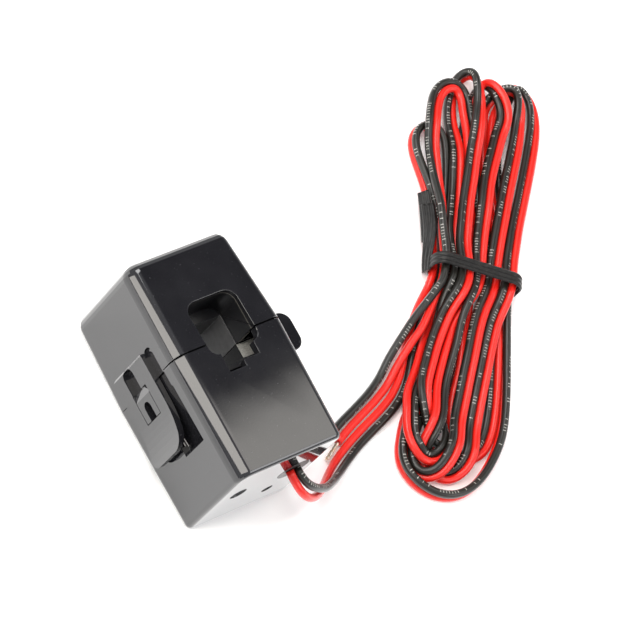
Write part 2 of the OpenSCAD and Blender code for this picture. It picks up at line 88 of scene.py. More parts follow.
def fill(tree, node, inputs):
    """Gives a node its inputs: each is a value, or a socket to link from."""
    for name, value in inputs.items():
        if isinstance(value, bpy.types.NodeSocket):
            tree.links.new(value, node.inputs[name])
        else:
            node.inputs[name].default_value = value


def add(tree, kind, inputs=None, **settings):
    """Adds one node with its settings and inputs."""
    made = tree.nodes.new(kind)
    for name, value in settings.items():
        setattr(made, name, value)
    fill(tree, made, inputs or {})
    return made


def calc(tree, operation, *values):
    """One maths node over sockets and numbers."""
    return add(tree, "ShaderNodeMath", dict(enumerate(values)), operation=operation).outputs[0]


def blend(tree, factor, under, over):
    """One colour laid over another by a factor."""
    inputs = {"Factor": factor, "A": under, "B": over}
    return add(tree, "ShaderNodeMix", inputs, data_type="RGBA").outputs["Result"]


def mapped(tree, value, to=(0.0, 1.0), since=(0.0, 1.0), **settings):
    """A value moved from one range to another."""
    inputs = {"Value": value, "From Min": since[0], "From Max": since[1]}
    inputs.update({"To Min": to[0], "To Max": to[1]})
    return add(tree, "ShaderNodeMapRange", inputs, **settings).outputs["Result"]


def ramp(tree, factor, stops):
    """A colour ramp over (position, colour) stops."""
    made = add(tree, "ShaderNodeValToRGB", {"Fac": factor})
    line = made.color_ramp.elements
    while len(line) < len(stops):
        line.new(0.5)
    for element, (place, colour) in zip(line, stops):
        element.position = place
        element.color = srgb(colour) if isinstance(colour, str) else colour
    return made.outputs["Color"]


def material(name):
    """A new material with its tree, its shader and the object's own coordinates in metres."""
    made = bpy.data.materials.new(name)
    made.use_nodes = True
    tree = made.node_tree
    shader = tree.nodes["Principled BSDF"]
    place = add(tree, "ShaderNodeTexCoord").outputs["Object"]
    return made, tree, shader, place


def noise(tree, place, size_mm, detail):
    """Noise whose blotches are about size_mm across."""
    inputs = {"Vector": place, "Scale": 1 / (size_mm * MM), "Detail": detail}
    return add(tree, "ShaderNodeTexNoise", inputs).outputs["Fac"]


def noise_along(tree, along_mm, scale):
    """Slow noise along the wire, per millimetre of its length."""
    inputs = {"W": along_mm, "Scale": scale, "Detail": 0.0}
    return add(tree, "ShaderNodeTexNoise", inputs, noise_dimensions="1D").outputs["Fac"]


def bump(tree, height, depth_mm, strength, under=None):
    """Relief of depth_mm, laid over another normal if one is given."""
    inputs = {"Height": height, "Distance": depth_mm * MM, "Strength": strength}
    if under is not None:
        inputs["Normal"] = under
    return add(tree, "ShaderNodeBump", inputs).outputs["Normal"]


# ---------------------------------------------------------------- materials

# height of the painted highlight along the parting line in the window, above the back face, and
# half its width
PARTING_HIGHLIGHT_MM, PARTING_HIGHLIGHT_HALF_MM = 30.3, 0.09
# a face whose normal leans this far along the shaded axis gets the painted shade
SHADED_FACE_OVER = 0.6
# printed ticks: their pitch in millimetres, the share of it inked, and the share left out
TICK_PITCH_MM, TICK_INKED, TICK_GAPS = 0.8, 0.27, 0.38
# the groups of ticks: how often they come per millimetre, and the share left bare
GROUP_RATE, GROUP_BARE = 0.085, 0.43
# how often the printed side wanders per millimetre, and how far round the wire, in radians
WANDER_RATE, WANDER_ROUND = 0.011, (0.7, 2.6)


def polished_abs():
    """Injection-moulded ABS from a polished tool: near black, sharp reflections, a faint swell."""
    made, tree, shader, place = material("polished_black_abs")
    # specks of dust and handling, 0.25 mm across, that lie on the gloss
    specks = ramp(tree, noise(tree, place, 0.4, 1.0), [(0.745, grey(0)), (0.78, grey(1))])
    # a slow change of depth, which keeps the black from looking flat
    tint = ramp(tree, noise(tree, place, 9, 3.0), [(0.3, "#17171a"), (0.7, "#1e1e21")])
    # broad dull patches, which soften parts of each reflection
    rough = mapped(tree, noise(tree, place, 3.5, 4.0), (0.025, 0.055))
    # the slight swell of a cooled wall bends the reflections, and a fine grain breaks them
    swell = bump(tree, noise(tree, place, 14, 1.0), 0.05, 0.25)
    fill(tree, shader, {
        "Base Color": blend(tree, specks, tint, srgb("#3c3c3f")),
        "Roughness": rough,
        "Normal": bump(tree, noise(tree, place, 0.35, 2.0), 0.002, 0.25, swell),
        "IOR": 1.54,
    })
    return made


def matt_abs(name, dark, light):
    """The same plastic from an etched tool, seen inside the window: soft and dark."""
    made, tree, shader, place = material(name)
    fill(tree, shader, {
        "Base Color": ramp(tree, noise(tree, place, 4, 3.0), [(0.3, dark), (0.7, light)]),
        "Roughness": 0.42,
        # the etched tool's fine tooth scatters the light
        "Normal": bump(tree, noise(tree, place, 0.25, 3.0), 0.012, 0.5),
        "IOR": 1.5,
    })
    return made


def window_wall():
    """The window's own walls: darker, softly etched, with dust and a painted highlight line along
    the parting near the face.
    """
    made, tree, shader, place = material("etched_window_wall")
    dust = ramp(tree, noise(tree, place, 0.5, 1.0), [(0.70, grey(0)), (0.76, grey(1))])
    tint = blend(tree, dust, srgb("#0e0e11"), srgb("#2b2a28"))
    height = add(tree, "ShaderNodeSeparateXYZ", {"Vector": place}).outputs["Z"]
    # a thin pale band at the parting height: a painted highlight of the parting edge
    line = calc(tree, "COMPARE", height, PARTING_HIGHLIGHT_MM * MM, PARTING_HIGHLIGHT_HALF_MM * MM)
    fill(tree, shader, {
        "Base Color": blend(tree, line, tint, srgb("#6d6a64")),
        "Roughness": 0.4,
        "Specular IOR Level": 0.3,
        "Normal": bump(tree, noise(tree, place, 0.3, 3.0), 0.01, 0.4),
    })
    return made


def ground_core():
    """Core steel with ground faces: dull grey, fine pits and faint grinding lines."""
    made, tree, shader, place = material("ground_core_steel")
    stretched = add(
        tree, "ShaderNodeMapping", {"Vector": place, "Scale": (1.0, 1.0, 12.0)}
    ).outputs["Vector"]
    lines = noise(tree, stretched, 0.9, 4.0)
    fill(tree, shader, {
        "Base Color": ramp(tree, lines, [(0.3, "#5c5c5e"), (0.55, "#7b7b7c"), (0.75, "#9a9a9a")]),
        "Metallic": 0.25,
        "Roughness": 0.46,
        "Normal": bump(tree, noise(tree, place, 0.3, 4.0), 0.02, 0.5),
    })
    return made


# coat is the painted shade colour, laid on the faces that look along the axis
def shaded_core(name, axis, coat, bare, grain_mm, grain_depth_mm, gloss):
    """Core steel, grey, with painted shade darkening the faces that look along one axis."""
    made, tree, shader, place = material(name)
    normal = add(tree, "ShaderNodeTexCoord").outputs["Normal"]
    part = add(tree, "ShaderNodeSeparateXYZ", {"Vector": normal}).outputs[axis]
    painted_shade_mask = calc(tree, "GREATER_THAN", calc(tree, "ABSOLUTE", part), SHADED_FACE_OVER)
    # one grain gives the lit faces both their mottle and their relief
    grain = noise(tree, place, grain_mm, 4.0)
    mottle = ramp(tree, grain, [(0.3, bare[0]), (0.7, bare[1])])
    fill(tree, shader, {
        # the faces along the axis are painted dark as shade, and made a little glossier
        "Base Color": blend(tree, painted_shade_mask, mottle, srgb(coat)),
        "Roughness": mapped(tree, painted_shade_mask, (0.45, 0.3)),
        "Specular IOR Level": gloss,
        "Normal": bump(tree, grain, grain_depth_mm, 0.6),
    })
    return made


def bright_steel():
    """Drawn steel wire and sheet: bright, with fine draw lines."""
    made, tree, shader, place = material("drawn_steel")
    streaks = noise(tree, place, 0.4, 3.0)
    fill(tree, shader, {
        "Base Color": ramp(tree, streaks, [(0.3, "#a9aaac"), (0.7, "#c9cacc")]),
        "Metallic": 1.0,
        "Roughness": 0.28,
        "Normal": bump(tree, streaks, 0.004, 0.4),
    })
    return made


def pvc_insulation(name, dark, light, printed):
    """Extruded PVC insulation: waxy gloss, faint lighter lines along the wire that are partly die
    lines and partly painted highlight streaks, a little unevenness.
    """
    made, tree, shader, place = material(name)
    along = add(tree, "ShaderNodeUVMap", uv_map="wire_mm").outputs["UV"]
    # long along the wire and narrow round it, as the die leaves them and as the painted highlight
    # streaks run
    drawn = add(
        tree, "ShaderNodeMapping", {"Vector": along, "Scale": (0.06, 5.0, 1.0)}
    ).outputs["Vector"]
    lines = add(
        tree, "ShaderNodeTexNoise", {"Vector": drawn, "Scale": 1.0, "Detail": 3.0}
    ).outputs["Fac"]
    # the lighter streaks in the colour are die lines in part and painted highlight streaks in part
    tint = ramp(tree, lines, [(0.3, dark), (0.7, light)])
    die_lines = bump(tree, lines, 0.05, 0.5)
    fill(tree, shader, {
        "Base Color": tick_marks(tree, along, tint) if printed else tint,
        "Roughness": 0.32,
        "IOR": 1.5,
        "Specular IOR Level": 0.45,
        # the wire's own unevenness, which breaks the long highlight
        "Normal": bump(tree, noise(tree, place, 2.2, 2.0), 0.03, 0.3, die_lines),
    })
    return made


def tick_marks(tree, along, under):
    """Plain pale ticks printed across the insulation, in uneven groups and partly worn."""
    split = add(tree, "ShaderNodeSeparateXYZ", {"Vector": along}).outputs
    cell = calc(tree, "DIVIDE", split["X"], TICK_PITCH_MM)
    index = calc(tree, "FLOOR", cell)
    drawn = add(
        tree, "ShaderNodeTexWhiteNoise", {"W": index}, noise_dimensions="1D"
    ).outputs["Value"]
    stroke = calc(tree, "LESS_THAN", calc(tree, "FRACT", cell), TICK_INKED)
    present = calc(tree, "GREATER_THAN", drawn, TICK_GAPS)
    group = noise_along(tree, split["X"], GROUP_RATE)
    grouped = calc(tree, "GREATER_THAN", group, GROUP_BARE)
    # the printed side wanders round the wire as it twists
    wander = noise_along(tree, split["X"], WANDER_RATE)
    middle = mapped(tree, wander, WANDER_ROUND, (0.3, 0.7))
    tall = mapped(tree, drawn, (0.24, 0.5))
    mask = calc(tree, "COMPARE", split["Y"], middle, tall)
    for part in (stroke, present, grouped):
        mask = calc(tree, "MULTIPLY", mask, part)
    # ink rubbed thin in places
    worn = add(
        tree, "ShaderNodeTexNoise", {"Vector": along, "Scale": 2.3, "Detail": 2.0}
    ).outputs["Fac"]
    kept = mapped(tree, worn, (0.35, 0.95), (0.35, 0.6))
    return blend(tree, calc(tree, "MULTIPLY", mask, kept), under, srgb("#b4b2ac"))


def tie_plastic():
    """Soft ribbed PVC over two thin wires: satin black, scuffed paler in random patches."""
    made, tree, shader, place = material("satin_tie_pvc")
    scuffs = noise(tree, place, 1.1, 5.0)
    fill(tree, shader, {
        "Base Color": ramp(tree, scuffs, [(0.35, "#0e0d0d"), (0.6, "#191817"), (0.8, "#2f2d2a")]),
        "Roughness": 0.42,
        "Specular IOR Level": 0.3,
        # creases where it was bent and twisted
        "Normal": bump(tree, noise(tree, place, 0.7, 3.0), 0.05, 0.4),
    })
    return made


def tinned_copper():
    """Fine copper strands under a thin coat of tin: warm silver."""
    made, tree, shader, place = material("tinned_copper")
    fill(tree, shader, {
        "Base Color": ramp(
            tree, noise(tree, place, 0.6, 3.0), [(0.35, "#b08d6c"), (0.6, "#cfc6ba")]
        ),
        "Metallic": 1.0,
        "Roughness": 0.33,
    })
    return made


def plain(name, dark, light, rough, metal=0.0, grain_mm=0.8):
    """A closed inner piece's finish: its colour with a fine grain."""
    made, tree, shader, place = material(name)
    grain = noise(tree, place, grain_mm, 3.0)
    fill(tree, shader, {
        "Base Color": ramp(tree, grain, [(0.3, dark), (0.7, light)]),
        "Normal": bump(tree, grain, 0.02, 0.4),
        "Roughness": rough,
        "Metallic": metal,
    })
    return made


GLOSS = polished_abs()
CRADLE = matt_abs("etched_black_abs", "#151517", "#222225")
WINDOW_WALL = window_wall()
GROUND = ground_core()
# painted shade: the head's faces along Z and the legs' faces along X are darkened
CORE_HEAD = shaded_core(
    "shaded_core_head", "Z", "#151518", ("#4d4d4e", "#5c5c5d"), 1.6, 0.004, 0.5
)
CORE_LEGS = shaded_core(
    "shaded_core_legs", "X", "#111113", ("#7e7d79", "#a3a29d"), 0.32, 0.05, 0.12
)
STEEL = bright_steel()
RED_PVC = pvc_insulation("red_pvc", "#cd130c", "#e6271b", False)
BLACK_PVC = pvc_insulation("black_pvc", "#12110e", "#211f1b", True)
TIE = tie_plastic()
TINNED = tinned_copper()

FINISHES = {
    "upper_case": GLOSS,
    "lower_case": GLOSS,
    "hinge_pin": STEEL,
    "core_legs": CORE_LEGS,
    "core_yoke": GROUND,
    "upper_core": CORE_HEAD,
    "core_spring": STEEL,
    "core_cradle": CRADLE,
    "bobbin": plain("natural_nylon", "#cfc8b2", "#ddd7c4", 0.45),
    "secondary_winding": plain("enamelled_copper", "#8f4a1e", "#b0642c", 0.3, 0.7, 0.25),
    "winding_tape": plain("polyester_tape", "#c9a424", "#d8b637", 0.25),
    "terminal_pins": STEEL,
    "burden_board": plain("green_laminate", "#14532f", "#1c683c", 0.4),
    "burden_resistor": plain("blue_lacquer", "#4f86b4", "#6699c4", 0.35),
    "clamp_diode": plain("moulded_epoxy", "#1b1b1c", "#262627", 0.5),
    "lead_bushing": matt_abs("black_bushing_pvc", "#141414", "#202020"),
}


def dress(mesh, *made):
    """Gives a mesh its materials in place of those it has."""
    mesh.materials.clear()
    for one in made:
        mesh.materials.append(one)


def placed(name, mesh):
    """A new object with the mesh."""
    piece = bpy.data.objects.new(name, mesh)
    scene.collection.objects.link(piece)
    return piece


def built(name, work, made):
    """A new object from a bmesh, facing outward."""
    bmesh.ops.recalc_face_normals(work, faces=work.faces)
    mesh = bpy.data.meshes.new(name)
    work.to_mesh(mesh)
    work.free()
    dress(mesh, made)
    return placed(name, mesh)


def joined(pieces):
    """The first piece, with the others joined to it."""
    with bpy.context.temp_override(active_object=pieces[0], selected_editable_objects=pieces):
        bpy.ops.object.join()
    return pieces[0]


def stand_in(piece, body, slot, *nodes):
    """Shows the piece in place of the CAD nodes, on one body; the slot argument is not used."""
    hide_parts(*nodes)
    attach(piece, body)


for part, made in FINISHES.items():
    dress(NODES[part].data, made)


# ---------------------------------------------------------------- moulded case halves


# points this near each other are one, and faces this flat to each other are one
MERGE_MM, FLAT_DEG = 0.004, 1.0
# edges over the first turn are broken, and unbroken ones over the second stay crisp
BREAK_DEG, CRISP_DEG = 32, 13
# the latch strip's root, in millimetres: its corners are too close together to be broken
STRIP_ROOT = ((-30, -30, -1), (-14.4, 9.5, 27))
# the strip and its slots lie beyond this in X and below this in Z
STRIP_X, STRIP_Z = -14.3, 27
# the window's walls: within this of its axis, between these heights
WINDOW_HALF, WINDOW_LOW, WINDOW_HIGH = 6.95, 19, 31.5
WALL_LEAN = 0.5
SHELL_EDGE_MM, HEAD_EDGE_MM, LEG_EDGE_MM = 0.2, 0.14, 0.1


def edge_weights(mesh, skip):
    """Marks the edges to break, outside the skipped box."""
    work = bmesh.new()
    work.from_mesh(mesh)
    bmesh.ops.remove_doubles(work, verts=work.verts, dist=MERGE_MM * MM)
    bmesh.ops.dissolve_limit(
        work, angle_limit=math.radians(FLAT_DEG), verts=work.verts, edges=work.edges
    )
    layer = work.edges.layers.float.new("bevel_weight_edge")
    for edge in work.edges:
        ends = [v.co / MM for v in edge.verts]
        skipped = skip and all(skip[0][k] < e[k] < skip[1][k] for e in ends for k in range(3))
        turn = edge.calc_face_angle(0.0)
        edge[layer] = float(turn > math.radians(BREAK_DEG) and not skipped)
        edge.smooth = edge[layer] > 0 or turn < math.radians(CRISP_DEG)
    work.to_mesh(mesh)
    work.free()


def broken_edges(node, name, body, edge_mm, made, slot, skip=None, window=False):
    """A copy of the CAD piece with its sharp edges broken as a mould or a grinder leaves them."""
    mesh = NODES[node].data.copy()
    piece = placed(name, mesh)
    edge_weights(mesh, skip)
    dress(mesh, made, *([WINDOW_WALL] if window else []))
    for face in mesh.polygons:
        x, y, z = face.center / MM
        # the thin latch strip and its slots stay flat faced, which keeps them crisp
        face.use_smooth = not (skip and x < STRIP_X and z < STRIP_Z)
        near = max(abs(x), abs(y)) < WINDOW_HALF and WINDOW_LOW < z < WINDOW_HIGH
        face.material_index = int(window and near and abs(face.normal.z) < WALL_LEAN)
    rounded = piece.modifiers.new("broken_edges", "BEVEL")
    rounded.width = edge_mm * MM
    rounded.segments = 2
    rounded.limit_method = "WEIGHT"
    rounded.use_clamp_overlap = False
    flat = piece.modifiers.new("true_faces", "WEIGHTED_NORMAL")
    flat.mode = "FACE_AREA"
    flat.weight = 100
    flat.keep_sharp = True
    stand_in(piece, body, slot, node)


broken_edges(
    "upper_case", "jaw_shell", "jaw", SHELL_EDGE_MM, GLOSS, "case_black",
    skip=STRIP_ROOT, window=True,
)
broken_edges(
    "lower_case", "base_shell", "base", SHELL_EDGE_MM, GLOSS, "case_black", skip=STRIP_ROOT
)
broken_edges("upper_core", "core_head", "jaw", HEAD_EDGE_MM, CORE_HEAD, "core_steel")
broken_edges("core_legs", "ground_legs", "base", LEG_EDGE_MM, CORE_LEGS, "core_steel")


# ---------------------------------------------------------------- lead

# all in millimetres: a conductor's diameter, the pitch of the bonded pair, and the spacing of
# the points along it
WIRE_D = 2.0
PITCH = 2.04
STEP = 1.25
WIRE_SIDES = 14

# how far the pair's middle is smoothed, and how smoothly the pair may turn over on itself
MIDDLE_REACH = 2.3
WAY_ROUNDS, WAY_REACH = 12, 2.8

# how the lead settles. It stays on its CAD points near its ends and comes free over the next
# stretch
HELD_MM, EASED_MM = 50, 25
ROUNDS = 320
FIRST_REACH, PUSH_REACH, LAST_REACH = 1.3, 3.2, 1.6
CLEAR_MM = WIRE_D + 0.06
# turns that may meet are looked for every few rounds, this near each other
LOOK_EVERY, LOOK_WITHIN = 8, WIRE_D * 1.9
# points this few steps apart along a conductor, or along the pair, aren't pushed apart
NEIGHBOURS = 4
# stands for the point opposite on the other conductor where there is none
NO_PARTNER = -99
PUSH_GAIN = 1.7
# how firmly the pair keeps together: evened along the wire, and point by point
BOND_EVEN, BOND_DIRECT = 0.6, 0.12
# where the lead bends tighter than this, it gives way by this share
BEND_R, UNBEND_GAIN = 6.2, 0.34
# lowest middle of a conductor over the table and over the tie, and its weight
TABLE_Z, OVER_TIE = 1.03, 1.02
SAG = 0.004
# share of its way that the lead keeps from round to round
KEPT = 0.9985
# a stretch and the hank meet on a line of their own, from some points before the end of one to
# some points after the start of the next, through every few of them
JOIN_BEFORE, JOIN_AFTER, JOIN_EVERY = 9, 12, 4

# free stretches of each conductor in the row frame, in millimetres
RED_OUT = [
    (5.4, -34.4, 17.7), (5.7, -37.2, 17), (7.4, -40, 15), (10.6, -41, 12), (15, -40.3, 8.7),
    (19.8, -38.2, 5.3), (24.6, -35.5, 2.9), (29.6, -32.9, 1.5), (35, -30.6, 1.1),
    (40.6, -28.6, 1.1), (46, -26.8, 1.1), (51, -24.7, 1.1), (55.2, -21.9, 1.1),
    (59.4, -18.2, 1.1), (63.4, -14.4, 1.2),
]
BLACK_OUT = [
    (7.5, -34.4, 17.7), (7.7, -36.6, 17.4), (9.1, -38.6, 16.2), (12, -39.8, 14),
    (16.2, -40, 10.9), (21, -38.8, 7.3), (25.8, -37, 4.3), (30.8, -34.8, 2.2), (36, -32.6, 1.2),
    (41.4, -30.7, 1.1), (46.8, -28.9, 1.1), (52, -26.7, 1.1), (56.6, -23.7, 1.1),
    (61, -19.8, 1.1), (65, -15.8, 1.2),
]
RED_END = [
    (31.6, -29.7, 1.1), (36, -27.8, 1.1), (41.4, -25.9, 1.1), (46.8, -24, 1.1),
    (51.8, -21.7, 1.2), (56.2, -18.7, 2.2), (60.6, -16, 3.3), (65.4, -13.4, 4.1),
    (70.6, -10.6, 4.6),
]
BLACK_END = [
    (29.4, -28, 1.1), (35, -25.7, 1.1), (40.6, -23.8, 1.1), (46, -21.8, 1.1),
    (50.8, -19.4, 1.2), (55, -16.4, 2.2), (59.5, -13.6, 3.3), (64.4, -10.9, 4.1),
    (69.4, -8.2, 4.6),
]

# the hank's own frame: u along it to its upper end, v to its left, z up
HANK_PLACE = np.array([85.0, -5.5, 0.0])
HANK_TURN = math.radians(54)
HANK_U = np.array([math.cos(HANK_TURN), math.sin(HANK_TURN), 0])
HANK_V = np.array([-math.sin(HANK_TURN), math.cos(HANK_TURN), 0])
UP = np.array([0, 0, 1.0])
# the tie's clear inside, between which the turns are held
TIE_U, TIE_HALF_U = 1.0, 2.6
TIE_LEFT, TIE_RIGHT, TIE_LOW, TIE_TOP = 8.4, -13.4, 0.95, 7.95

# which way the red conductor lies from the black one: as (out from the tie, left, up)
WAYS = {
    "right": (0, -1, 0), "left": (0, 1, 0), "under": (0, 0, -1), "over": (0, 0, 1),
    "out": (1, 0, 0), "in": (-1, 0, 0), "out_left": (1, 1, 0), "out_right": (1, -1, 0),
    "in_left": (-1, 1, 0), "in_right": (-1, -1, 0), "under_right": (0, -1, -1),
    "under_left": (0, 1, -1), "under_out": (1, 0, -1), "over_out": (1, 0, 1),
}

# the turns in the order that the lead takes them, each up one run, over its upper loop, down the
# next run and round its lower loop: (u, v, z, way) for the middle of the pair
TURNS = [
    [(-12, 9.2, 1.3, "left"), (1, 6.4, 2.1, "left"), (12, 6.8, 2.6, "under_left"),
     (22, 9.2, 2.5, "under"), (29, 12.6, 2.4, "under"), (34.1, 14.9, 2.4, "under"),
     (37.4, 14.9, 2.4, "under"), (40.6, 13.0, 2.4, "under"), (42.0, 10.4, 2.4, "under"),
     (41.2, 7.4, 2.3, "under"), (37.5, 5.0, 1.8, "under_right"), (30, 3.6, 1.3, "right"),
     (20, 3.2, 1.2, "right"),
     (1, 2.9, 2.1, "right"), (-12, 4.6, 2.0, "under"), (-26, 7.2, 1.6, "under_left"),
     (-38, 10.6, 1.8, "under"), (-46, 12.9, 2.1, "under"), (-53.2, 12.0, 2.1, "under"),
     (-57.4, 7.4, 2.1, "under"), (-58.6, 2.6, 2.1, "under"), (-57.0, -2.6, 2.1, "under"),
     (-52.4, -7.2, 2.1, "under"), (-45.6, -10.6, 2.1, "under")],
    [(-37.5, -12.9, 2.3, "under"), (-26, -13.1, 3.0, "under"), (-10, -12.4, 4.2, "under"),
     (1, -11.8, 3.2, "under"), (13, -10.4, 2.2, "under"), (25, -8.6, 1.4, "left"),
     (37, -7.4, 1.2, "left"), (47, -6.8, 1.3, "left"), (55, -7.6, 1.9, "out_left"),
     (60.2, -12.0, 2.6, "under_out"), (57.8, -16.6, 3.1, "under_right"),
     (51, -18.0, 3.8, "right"), (41, -17.0, 4.5, "right"), (24.7, -14.3, 5.6, "right"),
     (12, -12.0, 6.2, "right"), (1, -11.2, 6.5, "right"), (-10, -8.2, 6.3, "right"),
     (-27.6, -5.7, 5.8, "right"), (-41, -4.4, 4.6, "right"), (-48.4, -3.0, 3.6, "right"),
     (-52.4, -1.2, 2.2, "out_right"), (-53.8, 2.2, 1.3, "out"), (-52.6, 5.4, 1.2, "out"),
     (-50.0, 7.4, 1.9, "out_left")],
    [(-47.8, 8.2, 3.4, "left"), (-45.6, 8.0, 5.1, "left"), (-42, 7.2, 6.1, "left"),
     (-36, 5.8, 6.2, "left"),
     (-28, 4.3, 5.9, "left"),
     (-17, 2.3, 6.1, "left"), (-9, 0.4, 5.7, "under"), (1, -2.5, 6.5, "right"),
     (16, -3.9, 6.4, "right"), (28, -4.8, 6.1, "right"), (40, -7.1, 5.7, "right"),
     (48, -8.6, 5.4, "right"), (54, -8.8, 5.2, "out_right"), (57.0, -6.4, 5.0, "over_out"),
     (56.6, -3.2, 4.2, "over"), (52, -1.0, 2.6, "over"), (44, 0.2, 1.6, "right"),
     (28, 0.1, 1.4, "right"), (14, -0.6, 2.4, "right"), (1, -1.9, 4.2, "right"),
     (-14, 0.0, 3.4, "right"), (-30, 1.2, 2.6, "right"), (-41, 1.6, 2.9, "right"),
     (-47.2, 2.8, 3.4, "out_right"), (-51.0, 5.4, 3.4, "out"), (-51.6, 8.4, 4.2, "out"),
     (-49.2, 10.8, 5.0, "out_left"), (-45.4, 11.9, 5.0, "left")],
    [(-40.5, 11.8, 4.8, "left"), (-34, 10.7, 3.9, "left"), (-24, 9.0, 3.0, "left"),
     (-12, 6.2, 3.4, "under_left"),
     (1, 2.6, 4.3, "under_right"), (12, 2.4, 4.2, "right"), (24, 3.0, 4.0, "right"),
     (36.8, 4.4, 3.6, "right"), (42, 4.8, 3.4, "right"), (47.4, 5.2, 3.4, "right"),
     (52.6, 4.8, 3.4, "under_right"), (57.0, 3.6, 3.5, "under"), (59.7, 1.6, 4.0, "under"),
     (59.9, -0.5, 4.8, "under"), (57.6, -1.7, 5.6, "under"), (53.8, -1.9, 6.1, "under_right"),
     (49.0, -1.5, 6.4, "right"), (43.5, -1.0, 6.5, "right"), (35, -0.5, 6.5, "right"),
     (20, 0.8, 6.5, "right"),
     (1, 1.9, 6.5, "right"), (-8, 4.0, 6.3, "right"), (-25, 8.3, 5.8, "right"),
     (-36, 10.2, 5.2, "right"), (-41.6, 8.8, 3.9, "right"), (-45.4, 5.8, 2.3, "under"),
     (-47.4, 1.6, 1.5, "out"), (-47.0, -3.6, 1.6, "out"), (-44.4, -7.6, 2.2, "out_right")],
    [(-39, -9.6, 2.9, "right"), (-27, -10.4, 3.5, "right"), (-12, -9.6, 4.2, "right"),
     (1, -7.2, 4.3, "right"), (13, -6.0, 3.2, "right"), (25, -5.0, 1.8, "right"),
     (38, -4.4, 1.3, "right"), (47, -4.2, 1.6, "right"), (54.0, -5.4, 2.6, "under_right"),
     (58.0, -8.4, 3.4, "under"), (57.2, -12.0, 4.2, "under_right"), (51, -13.3, 4.6, "right"),
     (42, -12.7, 5.0, "right"), (28.5, -10.4, 5.9, "right"), (18, -9.0, 6.3, "right"),
     (1, -6.9, 6.5, "right"), (-10, -4.2, 6.4, "right"), (-28.7, -1.6, 6.0, "right"),
     (-43, 0.6, 5.7, "right"), (-49.4, 2.2, 5.6, "right"), (-53.6, 4.4, 5.0, "out_right"),
     (-55.4, 7.4, 3.8, "out"), (-53.4, 10.2, 2.6, "under_out"), (-49.0, 10.9, 2.1, "under"),
     (-44.0, 10.2, 2.1, "under")],
    [(-36, 7.7, 1.3, "left"), (-24, 4.2, 1.1, "left"), (-10, 0.4, 1.4, "left"),
     (1, -2.6, 2.1, "left"), (13, -2.8, 2.2, "left"), (26, -2.2, 2.8, "left"),
     (38, -0.6, 3.3, "left"), (44.4, 0.5, 3.8, "left"), (49.8, 1.2, 4.4, "left"),
     (53.0, 2.4, 4.9, "in_left"), (54.6, 4.3, 5.3, "in"), (54.4, 6.4, 5.5, "in"),
     (52.3, 8.5, 5.6, "in_right"), (48.5, 10.0, 5.7, "right"), (43.9, 10.8, 5.8, "right"),
     (38.6, 11.0, 5.8, "right"), (33, 10.4, 5.8, "right"), (25, 9.1, 5.9, "right"),
     (14, 7.3, 6.0, "under"),
     (1, 5.6, 5.4, "under"), (-6, 7.4, 5.2, "under_right")],
]


def unit(rows):
    """Each row at a length of one."""
    return rows / np.linalg.norm(rows, axis=1)[:, None]


def along_line(line):
    """The length along the line at each of its points."""
    return np.concatenate([[0], np.cumsum(np.linalg.norm(np.diff(line, axis=0), axis=1))])


def smooth_line(points, step):
    """A Catmull-Rom line through the points, at even steps; further columns go along."""
    p = np.asarray(points, float)
    p = np.vstack([2 * p[0] - p[1], p, 2 * p[-1] - p[-2]])
    made = []
    for a, b, c, d in zip(p[:-3], p[1:-2], p[2:-1], p[3:]):
        t = np.linspace(0, 1, 13)[:-1, None]
        made.append(
            0.5 * ((2 * b) + (c - a) * t + (2 * a - 5 * b + 4 * c - d) * t**2
                   + (3 * b - a - 3 * c + d) * t**3)
        )
    line = np.vstack([*made, p[-2][None]])
    along = along_line(line[:, :3])
    at = np.linspace(0, along[-1], max(2, int(round(along[-1] / step)) + 1))
    return np.stack([np.interp(at, along, line[:, k]) for k in range(line.shape[1])], axis=1)


def hank_pair():
    """The middle of the pair through the whole hank, and the way from black to red along it."""
    rows = []
    for turn in TURNS:
        for u, v, z, way in turn:
            out, left, up = WAYS[way]
            rows.append((u, v, z, math.copysign(out, out * u), left, up))
    fine = smooth_line(rows, STEP)
    middle = HANK_PLACE + fine[:, :1] * HANK_U + fine[:, 1:2] * HANK_V + fine[:, 2:3] * UP
    way = fine[:, 3:4] * HANK_U + fine[:, 4:5] * HANK_V + fine[:, 5:6] * UP
    middle = spread_along(middle, MIDDLE_REACH)
    ahead = unit(np.gradient(middle, axis=0))

    def square_on(rows):
        return unit(rows - ahead * (rows * ahead).sum(1)[:, None])

    for _ in range(WAY_ROUNDS):
        way = spread_along(square_on(way), WAY_REACH)
    return middle, square_on(way)


def spread_along(values, reach_mm):
    """Values along one line, each shared out among its neighbours over about reach_mm."""
    width = reach_mm / STEP
    span = int(3 * width) + 1
    share = np.exp(-0.5 * (np.arange(-span, span + 1) / width) ** 2)
    share /= share.sum()
    edge = np.pad(values, ((span, span), (0, 0)), mode="edge")
    return np.stack([np.convolve(edge[:, k], share, "valid") for k in range(3)], axis=1)


def join(before, after):
    """The line on which one stretch goes over into the next."""
    first = before[-JOIN_BEFORE::JOIN_EVERY]
    last = after[JOIN_EVERY - 1 : JOIN_AFTER : JOIN_EVERY]
    return smooth_line(np.vstack([first, last]), STEP)


